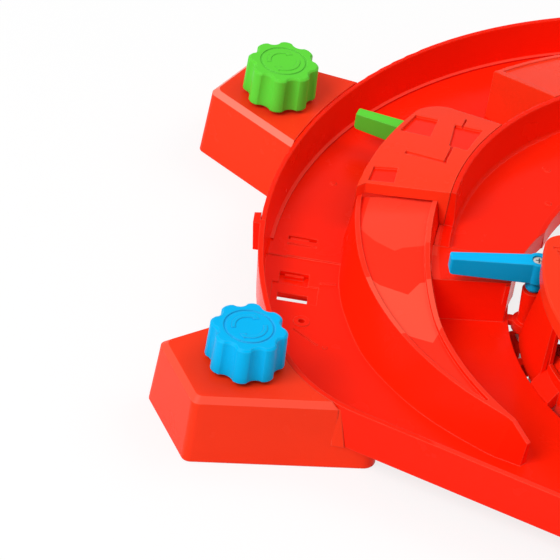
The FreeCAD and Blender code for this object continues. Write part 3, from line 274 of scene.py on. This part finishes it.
def pocket_shade(tree, place):
    """1 on the sunken seats of the lever cover, which lie below its tilted top; they are drawn darker, a painted
    shade.
    """
    top = maths(tree, "ADD", product(tree, from_middle(tree, place), COVER_SLOPE), COVER_LEVEL)
    sunk = maths(tree, "SUBTRACT", top, split(tree, place)["Z"])
    return product(tree, within(tree, sunk, POCKET_SHALLOWEST, POCKET_DEEPEST),
                   maths(tree, "GREATER_THAN", upness(tree), POCKET_FACING))


def bead_side_shade(tree, place):
    """1 on the upright side of a bead, which is drawn darker: painted shade."""
    return maths(tree, "LESS_THAN", upness(tree), UPRIGHT)


red = moulded("red_shell", RED, RED_EDGE_WORN_AND_HIGHLIT)
# The bead is drawn paler on top, a painted highlight, and darker on its upright sides, a painted shade.
red_bead_painted_light = moulded("red_shell_bead_painted_light", BEAD_HIGHLIGHT, RED_EDGE_WORN_AND_HIGHLIT, marks=bead_side_shade, tinted=BEAD_SIDE_SHADE)
red_inner = moulded("red_shell_inner", RED, RED_EDGE_WORN_AND_HIGHLIT, rough=0.5, gleam=0.0)
# The wedge's upward faces are drawn paler: painted light.
red_wedge = moulded("red_shell_wedge_lit", RED, RED_EDGE_WORN_AND_HIGHLIT, marks=arrow_bands)
# The upper parts, the pods and the lever cover take the lighter copy of the red: painted light.
red_painted_lit = moulded("red_shell_painted_lit", RED_PAINTED_LIT, RED_EDGE_WORN_AND_HIGHLIT)
# The pods' chamfers are drawn paler: a painted highlight, strong on the green pod and faint on the blue pod.
red_lit_pod = moulded("red_shell_green_pod", RED_PAINTED_LIT, RED_EDGE_WORN_AND_HIGHLIT, marks=chamfer_highlight(0.5), tinted=CHAMFER_HIGHLIGHT)
red_pod = moulded("red_shell_blue_pod", RED_PAINTED_LIT, RED_EDGE_WORN_AND_HIGHLIT, marks=chamfer_highlight(0.12), tinted=CHAMFER_HIGHLIGHT)
# The lever cover's sunken seats are drawn darker: painted shade.
red_cover = moulded("red_shell_cover", RED_PAINTED_LIT, RED_EDGE_WORN_AND_HIGHLIT, marks=pocket_shade, tinted=POCKET_SHADE)
green = moulded("green_plastic", GREEN, GREEN_EDGE, rough=0.34)
blue = moulded("blue_plastic", BLUE, BLUE_EDGE, rough=0.34)
white = moulded("white_plastic", WHITE, WHITE_EDGE, rough=0.4)
zinc = steel("screw_steel", STEEL, spread=0.12)
# Near-black steel for the screws' cross recesses: painted shade.
recess_shade = steel("screw_recess", RECESS_SHADE, spread=0.0)

BY_SLOT = {"red_shell": red, "green_plastic": green, "blue_plastic": blue, "white_plastic": white,
           "screw_steel": zinc}
BY_NODE = {"front_tray": red_wedge, "green_pod_housing": red_lit_pod, "blue_pod_housing": red_pod,
           "lever_cover": red_cover, "island_block": red_painted_lit, "hub_cap": red_painted_lit}
for part in frame["record"]["subparts"]:
    material = BY_NODE.get(part["node"], BY_SLOT[part["material_slot"]])
    for slot in nodes[part["node"]].material_slots:
        slot.material = material


# Pieces added to the solids. All their outlines and heights are in mm.
def piece(name, mesh, material, body):
    obj = bpy.data.objects.new(name, mesh)
    bpy.context.collection.objects.link(obj)
    mesh.materials.append(material)
    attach(obj, body)
    return obj


def raised(name, outlines, low, high, material, body, soft=0.0):
    """Flat relief with the given outlines, standing between two heights, with softened upper edges."""
    mesh = bpy.data.meshes.new(name)
    bm = bmesh.new()
    for outline in outlines:
        face = bm.faces.new([bm.verts.new((x * MM, y * MM, low * MM)) for x, y in outline])
        made = bmesh.ops.extrude_face_region(bm, geom=[face])["geom"]
        for vert in made:
            if isinstance(vert, bmesh.types.BMVert):
                vert.co.z = high * MM
        if soft:
            rim = [edge for lid in made if isinstance(lid, bmesh.types.BMFace) for edge in lid.edges]
            bmesh.ops.bevel(bm, geom=rim, offset=soft * MM, segments=2, affect="EDGES")
    bmesh.ops.recalc_face_normals(bm, faces=bm.faces[:])
    bm.to_mesh(mesh)
    bm.free()
    return piece(name, mesh, material, body)


def closed_mesh(name, points, faces):
    """Mesh from points in mm, with its faces turned outwards."""
    mesh = bpy.data.meshes.new(name)
    mesh.from_pydata([[value * MM for value in point] for point in points], [], faces)
    bm = bmesh.new()
    bm.from_mesh(mesh)
    bmesh.ops.recalc_face_normals(bm, faces=bm.faces[:])
    bm.to_mesh(mesh)
    bm.free()
    return mesh


def arc(radius, first, last, steps, x=0.0, y=0.0):
    """Points round (x, y) from one direction to another, in degrees."""
    turns = [math.radians(first + (last - first) * i / steps) for i in range(steps + 1)]
    return [(x + radius * math.cos(turn), y + radius * math.sin(turn)) for turn in turns]


def middle(low, high):
    return (low[0] + high[0]) / 2 / MM, (low[1] + high[1]) / 2 / MM


# Turning arrows on the knobs
ARROW_IN, ARROW_OUT = 6.2, 8.2
ARROW_SWEEP = -118
ARROW_STARTS = (20, 200)
ARROW_STEPS = 14
HEAD_OVERHANG = 1.0
HEAD_TURN = math.degrees(-0.42)
ARROW_SUNK, ARROW_PROUD, ARROW_SOFT = 0.2, 0.35, 0.15


def turning_arrow(x, y, start):
    """Outline of an arc that ends in an arrowhead, round (x, y)."""
    end = start + ARROW_SWEEP
    outer = arc(ARROW_OUT, start, end, ARROW_STEPS, x, y)
    inner = arc(ARROW_IN, end, start, ARROW_STEPS, x, y)
    head = [arc(radius, turn, turn, 1, x, y)[0]
            for radius, turn in ((ARROW_OUT + HEAD_OVERHANG, end), ((ARROW_IN + ARROW_OUT) / 2, end + HEAD_TURN),
                                 (ARROW_IN - HEAD_OVERHANG, end))]
    return outer + head + inner


for colour, material in (("green", green), ("blue", blue)):
    low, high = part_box(colour + "_knob")
    top = high[2] / MM
    arrows = [turning_arrow(*middle(low, high), start) for start in ARROW_STARTS]
    raised(colour + "_knob_arrows", arrows, top - ARROW_SUNK, top + ARROW_PROUD, material,
           colour + "_knob_body", ARROW_SOFT)


# Cross recesses of the screws, drawn as near-black crosses: painted shade.
CROSS_ARM, CROSS_HALF = 1.7, 0.35
CROSS_SUNK, CROSS_PROUD = 0.2, 0.03


def cross(x, y):
    """Outline of a cross recess, from its lower left corner round."""
    a, h = CROSS_ARM, CROSS_HALF
    corners = [(-a, -h), (-h, -h), (-h, -a), (h, -a), (h, -h), (a, -h),
               (a, h), (h, h), (h, a), (-h, a), (-h, h), (-a, h)]
    return [(x + dx, y + dy) for dx, dy in corners]


def islands(obj):
    """Lowest and highest corners of each separate solid of a node."""
    bm = bmesh.new()
    bm.from_mesh(obj.data)
    seen = set()
    found = []
    for vert in bm.verts:
        if vert in seen:
            continue
        group = [vert]
        seen.add(vert)
        for member in group:
            for edge in member.link_edges:
                other = edge.other_vert(member)
                if other not in seen:
                    seen.add(other)
                    group.append(other)
        found.append([tuple(pick(member.co[k] for member in group) for k in range(3)) for pick in (min, max)])
    bm.free()
    return found


for name in ("pod_base_screws", "guide_screws", "hub_screws"):
    boxes = islands(nodes[name])
    level = min(low[2] for low, high in boxes) / MM
    centres = dict.fromkeys(tuple(round(value, 1) for value in middle(low, high)) for low, high in boxes)
    raised(name + "_recess", [cross(x, y) for x, y in centres], level - CROSS_PROUD, level + CROSS_SUNK, recess_shade,
           "base")
low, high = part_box("blue_lever_screw")
top = high[2] / MM
raised("blue_lever_screw_recess", [cross(*middle(low, high))], top - CROSS_SUNK, top + CROSS_PROUD, recess_shade,
       "blue_lever_body")


# Drafted skirt that closes the hub's wall beside the blue lever: outer foot and outer top (x, y) of each station.
SKIRT = [((-106.4, -23.6), (-102.4, -34.6)), ((-106.2, -30.0), (-102.0, -38.2)), ((-105.3, -36.5), (-101.5, -41.8)),
         ((-104.0, -42.8), (-100.8, -45.6)), ((-101.7, -50.5), (-99.3, -51.6)), ((-98.8, -57.5), (-97.3, -58.0)),
         ((-96.6, -61.6), (-95.7, -62.4))]
SKIRT_LOW, SKIRT_HIGH = 11.5, 49.9
SKIRT_FOOT = (1.8, 0.3)
SKIRT_TOP = (2.5, 0.6)
SKIRT_PARTS = 5
CREASE = 30


def between(rows, parts):
    """More rows of numbers on smooth curves through the given ones."""
    ends = [rows[0]] + rows + [rows[-1]]
    made = []
    for i in range(len(rows) - 1):
        for k in range(parts):
            t = k / parts
            made.append([0.5 * (2 * b + (c - a) * t + (2 * a - 5 * b + 4 * c - d) * t * t
                                + (3 * b - a - 3 * c + d) * t ** 3) for a, b, c, d in zip(*ends[i:i + 4])])
    return made + [list(rows[-1])]


def skirt():
    """Sheet through the stations, a little thicker at its top, where it meets the drum's wall."""
    points = []
    for fx, fy, tx, ty in between([foot + top for foot, top in SKIRT], SKIRT_PARTS):
        points += [(fx, fy, SKIRT_LOW), (tx, ty, SKIRT_HIGH), (tx + SKIRT_TOP[0], ty + SKIRT_TOP[1], SKIRT_HIGH),
                   (fx + SKIRT_FOOT[0], fy + SKIRT_FOOT[1], SKIRT_LOW)]
    last = len(points) - 4
    faces = [(row + i, row + (i + 1) % 4, row + 4 + (i + 1) % 4, row + 4 + i)
             for row in range(0, last, 4) for i in range(4)]
    faces += [tuple(range(4)), tuple(range(last, last + 4))]
    mesh = closed_mesh("hub_skirt", points, faces)
    for polygon in mesh.polygons:
        polygon.use_smooth = True
    mesh.set_sharp_from_angle(angle=math.radians(CREASE))
    return piece("hub_skirt", mesh, red_inner, "base")


skirt()

# Sill between each wedge's wall and the upper deck: wedge side, then deck side.
SILL = [(-152.4, 0.3), (-152.1, 6.0), (-151.5, 12.0), (-150.9, 16.7),
        (-148.6, 16.7), (-149.1, 12.0), (-149.5, 6.0), (-149.5, 0.3)]
SILL_LOW, SILL_HIGH = 35.2, 37.4
raised("deck_sill", [SILL], SILL_LOW, SILL_HIGH, red_wedge, "base")
raised("deck_sill_right", [[(-x, y) for x, y in reversed(SILL)]], SILL_LOW, SILL_HIGH, red_wedge, "base")

# Beads on the outer lane, along each seam of the trays and round the foot of the back wall.
LANE_Z = 16.0
SUNK = 0.2
SEAM_BEAD = [(-228.5, 0.35), (-190.5, 0.35), (-190.5, 1.05), (-228.5, 1.05)]
SEAM_PROUD, SEAM_SOFT = 0.45, 0.2
raised("seam_beads", [[(side * x, y) for x, y in SEAM_BEAD] for side in (1, -1)], LANE_Z - SUNK, LANE_Z + SEAM_PROUD,
       red, "base", SEAM_SOFT)
BEAD_IN, BEAD_OUT = 228.0, 230.6
BEAD_RIGHT, BEAD_LEFT, BEAD_STEPS = 3.0, 177.0, 72
BEAD_PROUD = 1.0
lane_bead = arc(BEAD_OUT, BEAD_RIGHT, BEAD_LEFT, BEAD_STEPS) + arc(BEAD_IN, BEAD_LEFT, BEAD_RIGHT, BEAD_STEPS)
# This bead is drawn paler on top, a painted highlight, and darker on its upright sides, a painted shade.
raised("lane_bead", [lane_bead], LANE_Z - SUNK, LANE_Z + BEAD_PROUD, red_bead_painted_light, "base")

# Round marks that the ejector pins leave on the lanes and on the upper deck.
DECK_Z = 37.5
PIN_R, PIN_PROUD, PIN_SOFT = 1.3, 0.3, 0.15
PIN_SIDES = 20


def pin_marks(name, spots, level):
    last = 360 - 360 / PIN_SIDES
    marks = [arc(PIN_R, 0, last, PIN_SIDES - 1, side * x, y) for x, y in spots for side in (1, -1)]
    return raised(name, marks, level - SUNK, level + PIN_PROUD, red, "base", PIN_SOFT)


pin_marks("ejector_marks", [(-203.4, 64.5), (-196.0, -62.0)], LANE_Z)
pin_marks("deck_marks", [(-102.5, 75.4)], DECK_Z)

# Fillet in the notch between the end of the blue pod's front and the tray's wall: three points low, three high.
FILLET = [(-187.2, -125.15, 12.6), (-180.9, -124.9, 12.6), (-185.5, -122.2, 12.6),
          (-188.0, -124.15, 33.6), (-185.3, -124.3, 33.6), (-187.2, -122.4, 33.6)]
PRISM = [(0, 1, 2), (5, 4, 3), (0, 3, 4, 1), (1, 4, 5, 2), (2, 5, 3, 0)]
piece("pod_corner_fillet", closed_mesh("pod_corner_fillet", FILLET, PRISM), red_pod, "base")


# Camera: long lens, high in front of the ring's left part and rolled to one side.
ELEVATION = math.radians(38.46)
ROLL = math.radians(9.28)
CAMERA_PLACE = (-0.2214, -1.2351, 0.9829)
SENSOR = 36.0
LENS = 212.14
back = Vector((0, -math.cos(ELEVATION), math.sin(ELEVATION)))
level = Vector((0, math.sin(ELEVATION), math.cos(ELEVATION)))
side = Vector((1, 0, 0))
right = side * math.cos(ROLL) + level * math.sin(ROLL)
up = side * -math.sin(ROLL) + level * math.cos(ROLL)
cam_data = bpy.data.cameras.new("camera")
cam_data.sensor_width = SENSOR
cam_data.lens = LENS
cam_data.clip_start = 0.01
cam_data.clip_end = 50
cam = bpy.data.objects.new("camera", cam_data)
cam.matrix_world = Matrix.Translation(CAMERA_PLACE) @ Matrix((right, up, back)).transposed().to_4x4()
bpy.context.collection.objects.link(cam)
bpy.context.scene.camera = cam
bpy.context.scene.view_settings.view_transform = "Standard"


# Floor, world and lamps
def backdrop(tree, lighting, seen):
    """One value where light falls, and another where the camera, a gloss or a clear body looks."""
    path = node(tree, "ShaderNodeLightPath").outputs
    direct = maths(tree, "MAXIMUM", path["Is Camera Ray"], path["Is Glossy Ray"])
    looking = maths(tree, "MAXIMUM", direct, path["Is Transmission Ray"])
    return node(tree, "ShaderNodeMapRange", {"Value": looking, "To Min": lighting, "To Max": seen}).outputs[0]


WORLD_LIGHT, WORLD_SEEN = 0.5, 1.0
FLOOR_SEEN = 0.8
world = bpy.data.worlds.new("studio")
bpy.context.scene.world = world
world.use_nodes = True
sky = world.node_tree.nodes["Background"]
sky.inputs["Color"].default_value = (1, 1, 1, 1)
world.node_tree.links.new(backdrop(world.node_tree, WORLD_LIGHT, WORLD_SEEN), sky.inputs["Strength"])

FLOOR_HALF = 6
FLOOR_DROP = 0.0004
paper = bpy.data.materials.new("floor")
paper.use_nodes = True
tree = paper.node_tree
matt = tree.nodes["Principled BSDF"]
matt.inputs["Base Color"].default_value = (0.9, 0.9, 0.9, 1)
matt.inputs["Roughness"].default_value = 0.9
shine = node(tree, "ShaderNodeEmission", {"Strength": 1.0}).outputs[0]
share = backdrop(tree, 0.0, FLOOR_SEEN)
blend = node(tree, "ShaderNodeMixShader", {0: share, 1: matt.outputs[0], 2: shine})
tree.links.new(blend.outputs[0], tree.nodes["Material Output"].inputs["Surface"])
floor_mesh = bpy.data.meshes.new("floor")
corners = [(x * FLOOR_HALF, y * FLOOR_HALF, 0) for x, y in ((-1, -1), (1, -1), (1, 1), (-1, 1))]
floor_mesh.from_pydata(corners, [], [(0, 1, 2, 3)])
floor_mesh.materials.append(paper)
floor = bpy.data.objects.new("floor", floor_mesh)
floor.location.z = -FLOOR_DROP
bpy.context.collection.objects.link(floor)

AIM = Vector((-0.1, 0, 0))


def lamp(name, place, size, power):
    data = bpy.data.lights.new(name, "AREA")
    data.shape = "RECTANGLE"
    data.size, data.size_y = size
    data.energy = power
    obj = bpy.data.objects.new(name, data)
    obj.location = place
    obj.rotation_euler = (AIM - Vector(place)).to_track_quat("-Z", "Y").to_euler()
    bpy.context.collection.objects.link(obj)


lamp("key", place=(-1.7, -1.3, 2.1), size=(1.5, 1.5), power=56)
lamp("fill", place=(1.2, 0.8, 2.2), size=(1.6, 1.2), power=14)
